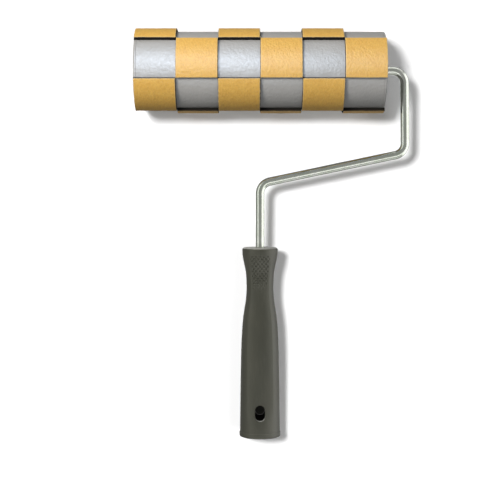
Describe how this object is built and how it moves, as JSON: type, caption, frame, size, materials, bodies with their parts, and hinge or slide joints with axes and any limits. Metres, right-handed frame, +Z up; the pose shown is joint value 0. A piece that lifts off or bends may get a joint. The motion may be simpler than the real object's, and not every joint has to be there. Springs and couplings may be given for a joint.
{
  "type": "textured pattern roller",
  "caption": "Hand roller for printing a chequered pattern in wet paint: raised foam pads on a tube that turns freely on a bent wire frame with a moulded grip.",
  "frame": {"origin": "middle of the base of the bounding box, on the surface that the tool lies on", "axes": "+X along the axle, from the roller's free end to the side where the wire enters; +Y from the handle to the roller; +Z up, away from the surface, on the thumb-patch side of the handle"},
  "size_m": [0.1988, 0.2988, 0.0615],
  "materials": {
    "zinc_plated_steel": "bright zinc plate, smooth, slightly green",
    "spring_steel": "plain spring steel, satin",
    "handle_plastic": "moulded polypropylene, fine matt grain, dark grey-green",
    "white_plastic": "white plastic, soft satin gloss",
    "acetal": "natural acetal, smooth",
    "foam": "fine-pored foam rubber, matt, yellow ochre"
  },
  "bodies": {
    "frame": {"frame_wire": "zinc_plated_steel", "handle": "handle_plastic", "stop_collar": "zinc_plated_steel", "thrust_washer_inboard": "zinc_plated_steel", "thrust_washer_outboard": "zinc_plated_steel", "push_nut": "spring_steel"},
    "roller": {"core_tube": "white_plastic", "end_cap_inboard": "white_plastic", "end_cap_outboard": "white_plastic", "bush_inboard": "acetal", "bush_outboard": "acetal", "hub_cover": "white_plastic", "pad_c2_r1": "foam", "pad_c4_r1": "foam", "pad_c6_r1": "foam", "pad_c1_r2": "foam", "pad_c3_r2": "foam", "pad_c5_r2": "foam", "pad_c2_r3": "foam", "pad_c4_r3": "foam", "pad_c6_r3": "foam", "pad_c1_r4": "foam", "pad_c3_r4": "foam", "pad_c5_r4": "foam", "pad_c2_r5": "foam", "pad_c4_r5": "foam", "pad_c6_r5": "foam", "pad_c1_r6": "foam", "pad_c3_r6": "foam", "pad_c5_r6": "foam"}
  },
  "joints": [
    {"name": "roller_spin", "type": "hinge", "parent": "frame", "child": "roller", "pos_m": [-0.00943, 0.11876, 0.0307], "axis": [1, 0, 0], "continuous": true}
  ]
}
